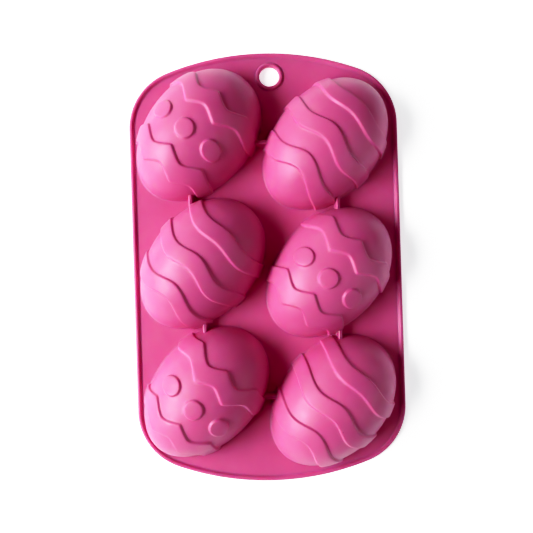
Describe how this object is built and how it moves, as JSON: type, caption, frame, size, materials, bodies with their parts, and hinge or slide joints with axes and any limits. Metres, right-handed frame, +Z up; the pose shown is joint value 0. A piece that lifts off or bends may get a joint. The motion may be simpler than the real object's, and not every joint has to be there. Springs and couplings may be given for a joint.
{
  "type": "silicone soap mould",
  "caption": "Silicone soap mould of half-egg cups with raised zigzag, dot and wave relief on a lipped sheet with a hang hole.",
  "frame": {"origin": "middle of the footprint, on the flat underside of the sheet, where the open mouths of the cups are", "axes": "+Z up through the domes, +Y along the columns of cups towards the hang hole, +X across the two columns"},
  "size_m": [0.1756, 0.28, 0.0355],
  "materials": {
    "silicone": "satin"
  },
  "bodies": {
    "root": {"flange_sheet": "silicone", "rim_lip": "silicone", "hang_eyelet": "silicone", "cup_top_left": "silicone", "cup_top_right": "silicone", "cup_middle_left": "silicone", "cup_middle_right": "silicone", "cup_bottom_left": "silicone", "cup_bottom_right": "silicone", "rib_left_upper": "silicone", "rib_left_lower": "silicone", "rib_right_upper": "silicone", "rib_right_lower": "silicone", "rib_cross_top": "silicone", "rib_cross_bottom": "silicone"}
  },
  "joints": []
}
